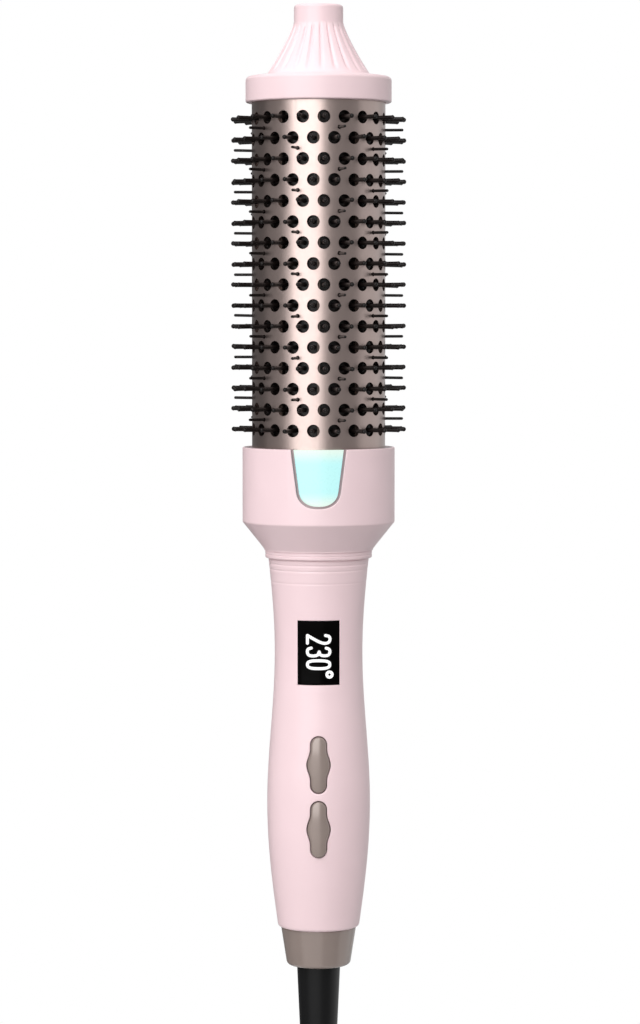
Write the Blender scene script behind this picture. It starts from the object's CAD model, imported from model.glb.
"""Heated round brush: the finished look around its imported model.

The brush stands upright on +Z, and its display and keys face -Y. Shapes are worked out in
millimetres and put into their meshes in metres.
"""

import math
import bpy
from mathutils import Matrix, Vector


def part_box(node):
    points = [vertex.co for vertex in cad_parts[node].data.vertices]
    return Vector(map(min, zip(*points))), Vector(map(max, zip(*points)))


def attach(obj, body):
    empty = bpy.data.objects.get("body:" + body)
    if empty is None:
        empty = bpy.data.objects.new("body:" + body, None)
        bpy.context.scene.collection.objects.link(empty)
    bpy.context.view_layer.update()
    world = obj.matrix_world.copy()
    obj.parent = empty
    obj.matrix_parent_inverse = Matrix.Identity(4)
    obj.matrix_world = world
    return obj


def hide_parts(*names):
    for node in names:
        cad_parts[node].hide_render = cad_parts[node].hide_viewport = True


bl_info = {
    "name": "Heated round brush",
    "version": (1, 0, 0),
    "blender": (4, 5, 0),
    "location": "3D View > Sidebar > Round Brush",
    "description": "Dresses the packed model of a heated round brush",
    "category": "Object",
}

from functools import partial
from types import SimpleNamespace

import bmesh
import bpy
import numpy as np
from bpy.props import FloatProperty, FloatVectorProperty, IntProperty, PointerProperty
from mathutils import Vector

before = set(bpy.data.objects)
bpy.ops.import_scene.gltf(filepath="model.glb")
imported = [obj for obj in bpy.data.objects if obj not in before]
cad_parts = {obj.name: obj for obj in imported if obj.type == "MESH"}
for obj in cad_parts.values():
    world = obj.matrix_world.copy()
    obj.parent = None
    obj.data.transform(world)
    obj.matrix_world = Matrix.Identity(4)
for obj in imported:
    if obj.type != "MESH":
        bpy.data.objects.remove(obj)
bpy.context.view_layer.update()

# A millimetre, and the distance within which points are merged, in metres
MM, MERGE = 0.001, 2e-6


def corner(node, end):
    """The lowest (0) or highest (1) corner of a CAD node at rest, in millimetres."""
    return np.round(np.array(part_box(node)[end]) / MM, 3)


def heights(node):
    """The heights of a CAD node's lower and upper end, in millimetres."""
    return corner(node, 0)[2], corner(node, 1)[2]


# Places and sizes of the CAD model that the visible pieces keep to
KEYS = ("upper_key", "lower_key")
STRIPS = [f"bristle_strip_{k:02d}" for k in range(1, 11)]
BARREL_R, DISC_R, COLLAR_R, RING_R = (
    corner(node, 1)[0] for node in ("barrel", "tip_cap", "collar", "neck_ring")
)
BARREL_TOP, RING_TOP = heights("barrel")[1], heights("neck_ring")[1]
TIP_LOW, TIP_TOP = heights("tip_cap")
STRIP_LOW, STRIP_TOP = heights(STRIPS[0])
COLLAR_LOW, COLLAR_TOP = heights("collar")
HANDLE_TOP = -RING_TOP
HANDLE_END, SPIGOT_TOP = heights("handle_front_shell")
LENS_LOW, LENS_TOP = heights("display_lens")
KEY_Z = [sum(heights(node)) / 2 for node in KEYS]
KEY_FRONT = [corner(node, 0)[1] for node in KEYS]
CAP_LOW, CAP_TOP = heights("end_cap")
BOOT_LOW, BOOT_TOP = heights("cord_boot")
PLUG_LOW, PLUG_TOP = heights("plug_body")
PLUG_Y = (corner("plug_body", 0)[1] + corner("plug_body", 1)[1]) / 2
TIE_LOW, TIE_TOP = corner("cord_tie", 0), corner("cord_tie", 1)

# Sizes that two pieces share: the bore through ring and collar, the shells' spigot and its bore, and
# the top of the narrow bore at the handle's lower end
NECK_BORE_R, SPIGOT_R, SPIGOT_BORE_R = 13.45, 13.4, 11.4
CAP_BORE_TOP = HANDLE_END + 6


# Sizes and colours


def length(name, about, value):
    """A length property; its default is given in millimetres."""
    return FloatProperty(name=name, description=about, default=value * MM, unit="LENGTH", precision=5)


def share(name, about, value, high=1.0):
    """A plain number property from nought up to a highest value."""
    return FloatProperty(name=name, description=about, default=value, min=0.0, max=high)


def count(name, about, value, low):
    """A whole number property from a lowest value up."""
    return IntProperty(name=name, description=about, default=value, min=low)


def linear(red, green, blue):
    """Scene-linear values of a colour given in display values from 0 to 255."""
    c = np.array([red, green, blue]) / 255
    return tuple(np.where(c <= 0.04045, c / 12.92, ((c + 0.055) / 1.055) ** 2.4))


def colour(name, about, *display):
    """A colour property; its default is given in display values from 0 to 255."""
    return FloatVectorProperty(
        name=name, description=about, default=linear(*display), subtype="COLOR", size=3, min=0, max=1
    )


class BrushSizes(bpy.types.PropertyGroup):
    """Sizes of the brush's visible pieces."""

    nub_r: length("Nub radius", "Radius of the finger nub at the top", 7)
    nub_h: length("Nub height", "Height of the finger nub", 4.9)
    flare_r: length("Flare radius", "Radius of the flare where it meets the disc", 14.6)
    disc_h: length("Disc height", "Height of the cool tip's disc", 7.4)
    flutes: count("Flutes", "Number of flutes round the flare", 22, 8)
    flute_share: share("Flute width", "Share of the pitch that a flute takes", 0.5)
    flute_depth: length("Flute depth", "Depth of a flute", 0.6)
    collar_bore: length("Collar bore", "Radius of the bores that take the barrel", 19.1)
    cone_h: length("Cone height", "Height of the collar's cone", 7.8)
    window_w: length("Window width", "Width of the light window at its foot", 10)
    window_h: length("Window height", "Height of the light window", 16)
    window_lean: share("Window lean", "How far the window's sides lean out per unit of height", 0.13)
    moat_w: length("Moat width", "Width of the channel round the light window", 0.7)
    moat_depth: length("Moat depth", "Depth of the channel round the light window", 1)
    rows: count("Rows", "Rows of large holes up the barrel", 16, 2)
    low_land: length("Low land", "From the collar to the lowest row", 5.2)
    high_land: length("High land", "From the highest row to the cool tip", 4.8)
    bristle_d: length("Bristle diameter", "Diameter of a thick bristle", 1.2)
    bristle_tip_d: length("Bristle tip", "Diameter of a thick bristle's round tip", 1.35)
    bristle_reach: length("Bristle reach", "How far a thick bristle stands out of the barrel", 6.0)
    thin_d: length("Thin bristle diameter", "Diameter of a thin bristle", 0.8)
    thin_reach: length("Thin bristle reach", "How far a thin bristle stands out of the barrel", 5.15)
    bristle_lean: share("Bristle lean", "How much the bristles lean at random", 0.012)
    neck_r: length("Neck radius", "Radius at the handle's top", 14.4)
    waist_r: length("Waist radius", "Radius at the handle's waist", 12.6)
    belly_r: length("Belly radius", "Radius at the handle's belly", 14.8)
    end_r: length("End radius", "Radius at the handle's lower end", 11.65)
    waist_at: length("Waist place", "From the handle's top to its waist", 26.9)
    belly_at: length("Belly place", "From the handle's top to its belly", 70.9)
    shell_wall: length("Shell wall", "Wall of the handle's shells", 2)
    shell_edge: length("Opening edge", "Radius of the edges of the shells' openings", 0.25)
    rim_edge: length("Rim edge", "Radius of the shells' lower rim", 0.9)
    groove_depth: length("Groove depth", "Depth of the fine grooves under the neck ring", 0.13)
    display_w: length("Display width", "Width of the display's opening", 11.9)
    figure_h: length("Figure height", "Height of the lit figures", 7.2)
    figure_w: length("Figure width", "Width of a lit figure", 3.1)
    figure_pitch: length("Figure pitch", "From one lit figure to the next", 3.6)
    stroke_w: length("Stroke width", "Width of the strokes of the lit figures", 0.85)
    key_len: length("Key length", "Length of a key", 16)
    key_w: length("Key width", "Width of a key near its ends", 4.4)
    key_swell: length("Key swell", "How much each side of a key swells at its middle", 1.05)
    key_gap: length("Key gap", "Gap round a key in its opening", 0.2)
    key_edge: length("Key edge", "Radius of a key's edge", 0.5)
    cap_r: length("Cap radius", "Radius of the end cap where it meets the shells", 10.85)
    cap_foot_r: length("Cap foot radius", "Radius of the end cap's lower edge", 9)
    boot_r: length("Boot radius", "Radius of the cord boot where it leaves the end cap", 6.2)
    cord_d: length("Cord diameter", "Diameter of the cord", 6)
    glow: share("Glow", "Strength of the window's light", 0.9, 4)


class BrushColours(bpy.types.PropertyGroup):
    """Colours of the brush's finishes."""

    pink: colour("Pink", "Moulded collar, handle and cool tip", 244, 217, 221)
    barrel: colour("Barrel", "Coated metal of the barrel", 166, 149, 144)
    nylon: colour("Nylon", "Bristles", 19, 13, 12)
    taupe: colour("Taupe", "Keys and end cap", 149, 134, 127)
    lens: colour("Lens", "Smoked display lens", 7, 6, 6)
    figures: colour("Figures", "Lit figures", 255, 255, 255)
    glow: colour("Glow", "Middle of the lit window", 196, 255, 255)
    glow_end: colour("Glow end", "Ends of the lit window", 236, 255, 244)
    cord: colour("Cord", "Cord, boot and plug", 15, 15, 16)
    tie: colour("Tie", "Webbing of the cord's tie", 44, 43, 44)
    tie_shade: colour("Tie shade", "Second tone of the webbing", 30, 30, 31)
    nickel: colour("Nickel", "Plug blades and screws", 196, 194, 188)


class BrushStage(bpy.types.PropertyGroup):
    """Camera, lamps and floor."""

    camera_distance: length("Camera distance", "From the brush to the camera", 970)
    camera_height: length("Camera height", "Height of the camera over the neck ring", 70)
    aim_height: length("Aim height", "Height that the camera looks at", 11.9)
    aim_side: length("Aim side", "How far to the side the camera looks", 0.4)
    lens: share("Lens", "Focal length in millimetres", 119.1, 400)
    light_above: share("Light from above", "Strength of the even light from straight above", 0.46, 4)
    light_below: share("Light from below", "Strength of the even light from straight below", 0.02, 4)
    key_power: share("Key lamp", "Power of the wide lamp at the front left, in watts", 19.9, 200)
    left_power: share("Left lamp", "Power of the dim lamp at the left, in watts", 4.0, 200)
    right_power: share("Right lamp", "Power of the dim lamp at the right, in watts", 3.6, 200)
    back_power: share("Back lamp", "Power of the wide lamp behind, in watts", 9.0, 200)
    shade: share("Shade", "Scale of the cards' brightness in gloss and metal", 0.2)
    floor_r: length("Floor radius", "Radius of the floor", 420)
    floor_gap: length("Floor gap", "From the plug's blades down to the floor", 22)


def own_props(group):
    """The properties that a group declares itself."""
    return [p for p in group.bl_rna.properties if p.identifier not in ("rna_type", "name")]


def in_mm(group):
    """All the values of a property group by name, with its lengths in millimetres."""
    values = {}
    for prop in own_props(group):
        value = getattr(group, prop.identifier)
        values[prop.identifier] = value / MM if getattr(prop, "unit", "") == "LENGTH" else value
    return SimpleNamespace(**values)


# Meshes


def quads(rows, cols, wrap, start):
    """The faces of a grid of points: each joins a point, the next in its row and the two above them."""
    i, j = np.meshgrid(np.arange(rows - 1), np.arange(cols if wrap else cols - 1), indexing="ij")
    a = start + i * cols + j
    b = start + i * cols + (j + 1) % cols
    return np.stack([a, b, b + cols, a + cols], -1).reshape(-1, 4)


def joined(patches):
    """The points and faces of several grids, each given with whether its rows close."""
    points, faces, start = [], [], 0
    for grid, wrap in patches:
        rows, cols = grid.shape[:2]
        points.append(grid.reshape(-1, 3))
        faces.append(quads(rows, cols, wrap, start))
        start += rows * cols
    return np.concatenate(points), np.concatenate(faces)


def mesh_of(name, points, faces):
    """A mesh from points in millimetres."""
    mesh = bpy.data.meshes.new(name)
    mesh.from_pydata((points * MM).tolist(), [], faces.tolist())
    return mesh


def placed(name, data):
    """A new object in the scene."""
    made = bpy.data.objects.new(name, data)
    bpy.context.scene.collection.objects.link(made)
    return made


def piece(name, patches, body, look, replaced, fill=False, crease=32):
    """Makes a closed piece from grids of points in millimetres, in the place of a body's CAD nodes.

    Points that meet are merged, flat openings are filled where fill is set, and the faces are turned
    outwards. Edges sharper than crease degrees stay sharp, and large faces lead the shading.
    """
    mesh = mesh_of(name, *joined(patches))
    bm = bmesh.new()
    bm.from_mesh(mesh)
    bmesh.ops.remove_doubles(bm, verts=bm.verts, dist=MERGE)
    bmesh.ops.dissolve_degenerate(bm, dist=MERGE / 4, edges=bm.edges)
    if fill:
        bmesh.ops.holes_fill(bm, edges=[e for e in bm.edges if e.is_boundary], sides=0)
    bmesh.ops.recalc_face_normals(bm, faces=bm.faces)
    loose = sum(not e.is_manifold for e in bm.edges)
    bm.to_mesh(mesh)
    bm.free()
    if loose:
        raise RuntimeError(f"{name} is not closed: {loose} edges don't join two faces")
    mesh.shade_smooth()
    mesh.set_sharp_from_angle(angle=math.radians(crease))
    made = placed(name, mesh)
    made.modifiers.new("Shading", "WEIGHTED_NORMAL").keep_sharp = True
    mesh.materials.append(look)
    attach(made, body)
    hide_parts(*replaced)
    return made


def rounded(corners, steps=5):
    """A profile through corners given as (radius out, height, edge radius).

    Each corner becomes an arc that touches both of its sides: its centre lies on the line that halves
    the corner, and its points swing from one touching point to the other in equal angles.
    """
    c = np.array(corners, float)
    p, before, after = c[1:-1, :2], c[:-2, :2], c[2:, :2]
    a, b = before - p, after - p
    a /= np.linalg.norm(a, axis=1, keepdims=True)
    b /= np.linalg.norm(b, axis=1, keepdims=True)
    half = np.arccos(np.clip((a * b).sum(1), -1, 1))[:, None] / 2
    edge = c[1:-1, 2:]
    bisector = a + b
    bisector /= np.maximum(np.linalg.norm(bisector, axis=1, keepdims=True), 1e-9)
    centre = p + bisector * edge / np.sin(half)
    first, last = p + a * edge / np.tan(half) - centre, p + b * edge / np.tan(half) - centre
    sweep = math.pi - 2 * half
    t = np.linspace(0, 1, steps + 1)
    swing = np.maximum(np.sin(sweep), 1e-9)[:, None]
    arcs = (
        np.sin((1 - t)[None, :, None] * sweep[:, None]) * first[:, None]
        + np.sin(t[None, :, None] * sweep[:, None]) * last[:, None]
    ) / swing + centre[:, None]
    return np.concatenate([c[:1, :2], arcs.reshape(-1, 2), c[-1:, :2]])


def turned(r, phi, z, side=-1):
    """Points on a round wall at a height.

    x is the radius times the turn's sine, and y is side times the radius times its cosine.
    """
    return np.stack([r * np.sin(phi), side * r * np.cos(phi), z + 0 * phi], -1)


def revolved(profile, turns):
    """A profile of (radius, height) carried round the axis."""
    phi = np.linspace(0, 2 * math.pi, turns, endpoint=False)
    return turned(profile[:, :1], phi, profile[:, 1:]), True


def flank(r, z, edge, end, side, cols):
    """The part of a round wall between x = edge and the end angle, on rows of radius r and height z."""
    start = np.arcsin(edge / r)[:, None]
    phi = start + (end - start) * np.linspace(0, 1, cols + 1)
    return turned(r[:, None], phi, z[:, None], side), False


def field(r, z, x0, x1, side, cols):
    """The part of a round wall between x0 and x1 on each row, spaced evenly in x."""
    x0, x1 = (np.broadcast_to(x, r.shape)[:, None] for x in (x0, x1))
    x = x0 + (x1 - x0) * np.linspace(0, 1, cols + 1)
    return np.stack([x, side * np.sqrt(r[:, None] ** 2 - x**2), z[:, None] + 0 * x], -1), False


def boundary(grid):
    """The points round a grid's edge in order."""
    return np.concatenate([grid[0], grid[1:, -1], grid[-1, -2::-1], grid[-2:0:-1, 0]])


def lip(margin, edge, steps=3, way=1):
    """Pairs of margin and depth that round an edge.

    The margin changes by way times the edge's radius times one less the sine of an angle, and the depth
    grows by the radius times one less its cosine. way is 1 on an opening and -1 on a plate.
    """
    a = np.linspace(0, math.pi / 2, steps + 1)
    return list(zip(margin + way * edge * (1 - np.sin(a)), edge * (1 - np.cos(a))))


def on_wall(radius, side=-1, depth=0):
    """A function that gives y on a round wall whose radius is a function of the height.

    y is side times the root of the radius squared less x squared, taken less the depth.
    """
    return lambda x, z: side * (np.sqrt(radius(z) ** 2 - x**2) - depth)


def level(y):
    """A function that gives the same y everywhere."""
    return lambda x, z: y + 0 * x


def raised(flat, height):
    """Points from flat grids of x and z, with y given by a function of both."""
    x, z = np.broadcast_arrays(*flat)
    return np.stack([x, height(x, z), z], -1)


def band(face, steps):
    """A closed band through the edge of a face at each step's margin and height function."""
    return np.stack([boundary(raised(face(m), h)) for m, h in steps]), True


def plate(face, steps):
    """A closed plate: its front, the band round its edge and its back.

    face gives the grid of x and z for a margin. Each step is a margin and a height function; the first
    is the front's and the last is the back's.
    """
    front, back = ((raised(face(m), h), False) for m, h in (steps[0], steps[-1]))
    return [front, band(face, steps), back]


def smooth_line(points, step):
    """A smooth line through points, even in length.

    Each stretch is the cubic whose end slopes are half the step between the points on either side.
    """
    p = np.array(points, float)
    before, after = np.vstack([2 * p[0] - p[1], p[:-1]]), np.vstack([p[1:], 2 * p[-1] - p[-2]])
    slope = (after - before) / 2
    t = np.linspace(0, 1, 13)[None, :-1, None]
    a, b, u, v = p[:-1, None], p[1:, None], slope[:-1, None], slope[1:, None]
    curve = (
        (2 * t**3 - 3 * t**2 + 1) * a + (t**3 - 2 * t**2 + t) * u
        + (3 * t**2 - 2 * t**3) * b + (t**3 - t**2) * v
    ).reshape(-1, p.shape[1])
    return evened(np.vstack([curve, p[-1]]), step)


def evened(line, step):
    """A line's points again, spaced evenly along its length."""
    along = np.concatenate([[0], np.cumsum(np.linalg.norm(np.diff(line, axis=0), axis=1))])
    places = np.linspace(0, along[-1], max(2, round(along[-1] / step) + 1))
    return np.stack([np.interp(places, along, line[:, k]) for k in range(line.shape[1])], -1)


def carried(path, section):
    """A section carried along a path that never runs along Y, closed at both ends.

    The section's first axis is the cross product of the path's direction and Y, and its second is
    square to that and to the path. Each end closes to the path's own end point.
    """
    t = np.gradient(path, axis=0)
    t /= np.linalg.norm(t, axis=1, keepdims=True)
    u = np.cross(t, [0, 1, 0])
    u /= np.linalg.norm(u, axis=1, keepdims=True)
    v = np.cross(u, t)
    body = path[:, None] + (section[:, :1] * u[:, None] + section[:, 1:] * v[:, None])
    ends = [np.repeat(path[k][None, None], len(section), 1) for k in (0, -1)]
    return np.concatenate([ends[0], body, ends[1]]), True


# Finishes


def node_group(name, inputs, outputs):
    """A shader group with named inputs and outputs, and its end nodes."""
    group = bpy.data.node_groups.new(name, "ShaderNodeTree")
    for kind, sockets in (("INPUT", inputs), ("OUTPUT", outputs)):
        for socket, what in sockets:
            group.interface.new_socket(name=socket, in_out=kind, socket_type=f"NodeSocket{what}")
    return group, group.nodes.new("NodeGroupInput"), group.nodes.new("NodeGroupOutput")


def add(tree, kind, links=(), **values):
    """Adds a node to a tree, sets its properties and its plain inputs, and links sockets into it."""
    node = tree.nodes.new(kind)
    for key, value in values.items():
        if key.startswith("in_"):
            node.inputs[int(key[3:])].default_value = value
        else:
            setattr(node, key, value)
    for socket, source in dict(links).items():
        tree.links.new(source, node.inputs[socket])
    return node


def found(tree, kind):
    """A tree's first node of a kind."""
    return next(n for n in tree.nodes if n.bl_idname == kind)


def noise_share(group, start, detail):
    """A noise on a group's inputs, and a node that spreads its values from 0.3 to 0.7."""
    noise = add(group, "ShaderNodeTexNoise",
                {"Vector": start.outputs["Vector"], "Scale": start.outputs["Scale"]}, in_3=detail)
    return noise, add(group, "ShaderNodeMapRange", {"Value": noise.outputs["Fac"]}, in_1=0.3, in_2=0.7)


def fine_grain():
    """Shared group: a fine noise that varies the roughness between two values and lifts the surface."""
    group = bpy.data.node_groups.get("fine_grain")
    if group is None:
        group, start, end = node_group(
            "fine_grain",
            [("Vector", "Vector"), ("Scale", "Float"), ("Smoothest", "Float"), ("Roughest", "Float")],
            [("Roughness", "Float"), ("Height", "Float")],
        )
        noise, ranged = noise_share(group, start, 3.0)
        group.links.new(start.outputs["Smoothest"], ranged.inputs["To Min"])
        group.links.new(start.outputs["Roughest"], ranged.inputs["To Max"])
        group.links.new(ranged.outputs["Result"], end.inputs["Roughness"])
        group.links.new(noise.outputs["Fac"], end.inputs["Height"])
    return group


def tone_drift():
    """Shared group: a slow noise that blends a colour into a second one over a piece."""
    group = bpy.data.node_groups.get("tone_drift")
    if group is None:
        group, start, end = node_group(
            "tone_drift",
            [("Vector", "Vector"), ("Scale", "Float"), ("Colour", "Color"), ("Second colour", "Color")],
            [("Colour", "Color")],
        )
        _, ranged = noise_share(group, start, 2.0)
        blend = add(group, "ShaderNodeMix", {"Factor": ranged.outputs["Result"]}, data_type="RGBA")
        group.links.new(start.outputs["Colour"], blend.inputs[6])
        group.links.new(start.outputs["Second colour"], blend.inputs[7])
        group.links.new(blend.outputs[2], end.inputs["Colour"])
    return group


# The scale of the slow noise in every finish
DRIFT_SCALE = 60.0


def finish(name, tone, second=None, rough=(0.35, 0.42), grain=1500.0, lift=0.02, stretch=(1, 1, 1),
           **plain):
    """A finish whose colour drifts between two tones and whose grain varies its roughness and lifts it.

    plain holds the values that are the same all over, by the name of the shader's socket.
    """
    made = bpy.data.materials.get(name)
    if made is not None:
        return made
    made = bpy.data.materials.new(name)
    made.use_nodes = True
    tree = made.node_tree
    shader = tree.nodes["Principled BSDF"]
    place = add(tree, "ShaderNodeTexCoord")
    mapped = add(tree, "ShaderNodeMapping", {"Vector": place.outputs["Object"]})
    mapped.inputs["Scale"].default_value = stretch
    second = darker(tone, 0.1) if second is None else second
    drifting = add(tree, "ShaderNodeGroup", node_tree=tone_drift())
    drifting.inputs["Scale"].default_value = DRIFT_SCALE
    drifting.inputs["Colour"].default_value = (*tone, 1)
    drifting.inputs["Second colour"].default_value = (*second, 1)
    grained = add(tree, "ShaderNodeGroup", node_tree=fine_grain())
    grained.inputs["Scale"].default_value = grain
    grained.inputs["Smoothest"].default_value, grained.inputs["Roughest"].default_value = rough
    for node in (drifting, grained):
        tree.links.new(mapped.outputs["Vector"], node.inputs["Vector"])
    bump = add(tree, "ShaderNodeBump", {"Height": grained.outputs["Height"]})
    bump.inputs["Strength"].default_value = 0.3
    bump.inputs["Distance"].default_value = lift * MM
    tree.links.new(drifting.outputs["Colour"], shader.inputs["Base Color"])
    tree.links.new(grained.outputs["Roughness"], shader.inputs["Roughness"])
    tree.links.new(bump.outputs["Normal"], shader.inputs["Normal"])
    for key, value in plain.items():
        shader.inputs[key.replace("_", " ")].default_value = value
    return made


def darker(tone, by):
    """A colour made darker by a share."""
    return tuple((1 - by) * c for c in tone)


# The brush's own finishes: the colour's name, how much darker its second tone is, the roughness from
# and to, the grain's scale and lift, and the values of the shader's plain sockets
FINISHES = {
    "Satin pink": dict(tone="pink", dark=0.03, rough=(0.3, 0.36), grain=2400.0, lift=0.01,
                       Specular_IOR_Level=0.4),
    "Taupe lustre": dict(tone="taupe", dark=0.08, rough=(0.22, 0.26), grain=5000.0, lift=0.003,
                         Metallic=0.15, Coat_Weight=0.3, Coat_Roughness=0.15),
    "Rose coat": dict(tone="barrel", dark=0.06, rough=(0.28, 0.34), grain=1800.0, lift=0.008,
                      stretch=(1, 1, 0.35), Metallic=1.0, Coat_Weight=0.3, Coat_Roughness=0.22),
    "Black nylon": dict(tone="nylon", dark=0.3, rough=(0.34, 0.42), grain=3000.0, lift=0.01,
                        Specular_IOR_Level=0.2),
    "Soft rubber": dict(tone="cord", dark=0.25, rough=(0.32, 0.38), grain=2600.0, lift=0.03,
                        Specular_IOR_Level=0.2),
    "Cord vinyl": dict(tone="cord", dark=0.2, rough=(0.33, 0.42), grain=1800.0,
                       Specular_IOR_Level=0.35),
    "Drawn nickel": dict(tone="nickel", dark=0.1, rough=(0.2, 0.34), grain=900.0,
                         stretch=(1, 1, 0.1), Metallic=1.0),
    "Smoked lens": dict(tone="lens", dark=0.4, rough=(0.1, 0.16), grain=900.0, lift=0.002,
                        Specular_IOR_Level=0.02),
}


def own_finish(name, c):
    """One of the brush's own finishes by name."""
    values = dict(FINISHES[name])
    tone = getattr(c, values.pop("tone"))
    return finish(name, tone, darker(tone, values.pop("dark")), **values)


def channelled_pink(c, s):
    """The collar's satin plastic, with the shade that gathers in the channel round its window.

    The shade is the product of two ramps: one on the distance from the axis, under the collar's wall,
    and one on the height, from just below the channel up.
    """
    name = "Satin pink, shaded channel"
    made = bpy.data.materials.get(name)
    if made is not None:
        return made
    made = own_finish("Satin pink", c).copy()
    made.name = name
    tree = made.node_tree
    shader = tree.nodes["Principled BSDF"]
    place = found(tree, "ShaderNodeTexCoord").outputs["Object"]
    flat = add(tree, "ShaderNodeVectorMath", {0: place}, operation="MULTIPLY", in_1=(1, 1, 0))
    out = add(tree, "ShaderNodeVectorMath", {0: flat.outputs["Vector"]}, operation="LENGTH")
    deep = add(tree, "ShaderNodeMapRange", {"Value": out.outputs["Value"]},
               in_1=(COLLAR_R - 0.35) * MM, in_2=(COLLAR_R - 0.75) * MM)
    parts = add(tree, "ShaderNodeSeparateXYZ", {"Vector": place})
    low = (COLLAR_TOP - s.window_h - 3) * MM
    high = add(tree, "ShaderNodeMapRange", {"Value": parts.outputs["Z"]}, in_1=low, in_2=low + MM)
    mask = add(tree, "ShaderNodeMath", {0: deep.outputs["Result"], 1: high.outputs["Result"]},
               operation="MULTIPLY")
    tone = shader.inputs["Base Color"].links[0].from_socket
    blend = add(tree, "ShaderNodeMix", {"Factor": mask.outputs["Value"], 6: tone}, data_type="RGBA")
    blend.inputs[7].default_value = (*darker(c.pink, 0.58), 1)
    tree.links.new(blend.outputs[2], shader.inputs["Base Color"])
    return made


def woven_tie(c):
    """Webbing of the cord's tie: two sets of bands cross, and the higher one lifts the surface."""
    made = finish("Woven tie", c.tie, c.tie_shade, rough=(0.7, 0.85), grain=2600.0)
    tree = made.node_tree
    if tree.nodes.get("Weave") is None:
        place = found(tree, "ShaderNodeTexCoord").outputs["Object"]
        waves = [
            add(tree, "ShaderNodeTexWave", {"Vector": place}, bands_direction=way, in_1=420.0)
            for way in ("X", "Z")
        ]
        waves[0].name = "Weave"
        mixed = add(tree, "ShaderNodeMath", {0: waves[0].outputs["Fac"], 1: waves[1].outputs["Fac"]},
                    operation="MAXIMUM")
        bump = found(tree, "ShaderNodeBump")
        bump.inputs["Distance"].default_value = 0.25 * MM
        bump.inputs["Strength"].default_value = 0.8
        tree.links.new(mixed.outputs["Value"], bump.inputs["Height"])
    return made


def inner_finishes():
    """Pairs of a finish and the inner CAD nodes that take it."""
    return [
        (finish("Heatproof black", linear(34, 33, 33), rough=(0.5, 0.62), grain=1600.0),
         ["tip_plug", "core_holder", "upper_plunger", "lower_plunger", "key_switches", "brush_holder",
          "swivel_core", "power_triac"]),
        (finish("Bright steel", linear(176, 178, 182), rough=(0.25, 0.4), grain=900.0, Metallic=1.0),
         ["tip_screw", "core_screws", "board_screws", "thermal_fuse", "core_wedge"]),
        (finish("Dark aluminium", linear(70, 62, 58), rough=(0.45, 0.6), grain=700.0,
                stretch=(1, 1, 0.06), Metallic=1.0),
         ["heat_core_front", "heat_core_rear"]),
        (finish("Ceramic", linear(92, 88, 84), rough=(0.6, 0.75), grain=1400.0, lift=0.03),
         ["heating_stones"]),
        (finish("Plain brass", linear(206, 170, 98), rough=(0.24, 0.36), grain=900.0, Metallic=1.0),
         ["electrode_front", "electrode_rear", "contact_brushes", "slip_rings"]),
        (finish("Amber film coat", linear(190, 128, 40), rough=(0.25, 0.35), grain=900.0),
         ["insulating_sleeve", "power_capacitor"]),
        (finish("Bead glass", linear(176, 120, 88), rough=(0.08, 0.15), grain=900.0), ["thermistor"]),
        (finish("Green board", linear(24, 92, 52), rough=(0.35, 0.45), grain=1200.0),
         ["light_board", "control_board", "power_board"]),
        (finish("Lamp case white", linear(236, 236, 232), rough=(0.4, 0.5), grain=1200.0),
         ["light_lamp", "display_module"]),
        (finish("Wire vinyl", linear(40, 38, 38), rough=(0.4, 0.5), grain=1600.0),
         ["heater_leads", "mains_leads"]),
    ]


def glowing(name, tone, second, strength, low, high):
    """A lit finish: its light runs from one tone at the middle height to a second at both ends."""
    made = bpy.data.materials.get(name)
    if made is not None:
        return made
    made = finish(name, darker(tone, 0.95), darker(second, 0.95), rough=(0.25, 0.32), grain=1200.0,
                  lift=0.005)
    tree = made.node_tree
    shader = tree.nodes["Principled BSDF"]
    place = found(tree, "ShaderNodeTexCoord").outputs["Object"]
    parts = add(tree, "ShaderNodeSeparateXYZ", {"Vector": place})
    height = add(tree, "ShaderNodeMapRange", {"Value": parts.outputs["Z"]}, in_1=low * MM,
                 in_2=high * MM)
    ramp = add(tree, "ShaderNodeValToRGB", {"Fac": height.outputs["Result"]})
    ramp.color_ramp.interpolation = "EASE"
    for end in ramp.color_ramp.elements:
        end.color = (*second, 1)
    for at in (0.28, 0.72):
        ramp.color_ramp.elements.new(at).color = (*tone, 1)
    tree.links.new(ramp.outputs["Color"], shader.inputs["Emission Color"])
    shader.inputs["Emission Strength"].default_value = strength
    return made


def dress(nodes, look):
    """Gives CAD nodes a finish."""
    for name in nodes:
        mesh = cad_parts[name].data
        mesh.materials.clear()
        mesh.materials.append(look)


# Shapes


def tip_profile(s):
    """The cool tip's outline from the middle of its top down, under its disc and up its bore.

    The flare's radius is the nub's, plus the rest times the share of the way down to the power 1.25.
    """
    disc_top = TIP_LOW + s.disc_h
    nub_low, flare_low = TIP_TOP - s.nub_h, disc_top + 0.8
    down = np.linspace(0, 1, 30)[:, None] ** 0.9
    flare = np.hstack([
        s.nub_r + (s.flare_r - s.nub_r) * down**1.25,
        nub_low + (flare_low - nub_low) * down,
    ])
    top = rounded([(0, TIP_TOP, 0), (s.nub_r, TIP_TOP, 0.9), (s.nub_r, nub_low, 0)])
    foot = rounded([
        (s.flare_r, flare_low, 0), (s.flare_r + 0.65, disc_top + 0.12, 0.7),
        (s.flare_r + 2.2, disc_top, 0), (DISC_R, disc_top, 1.2), (DISC_R, TIP_LOW, 0.5),
        (s.collar_bore, TIP_LOW, 0.1), (s.collar_bore, BARREL_TOP, 0), (0, BARREL_TOP, 0),
    ])
    return np.vstack([top[:-1], flare, foot[1:]]), nub_low, flare_low


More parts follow.
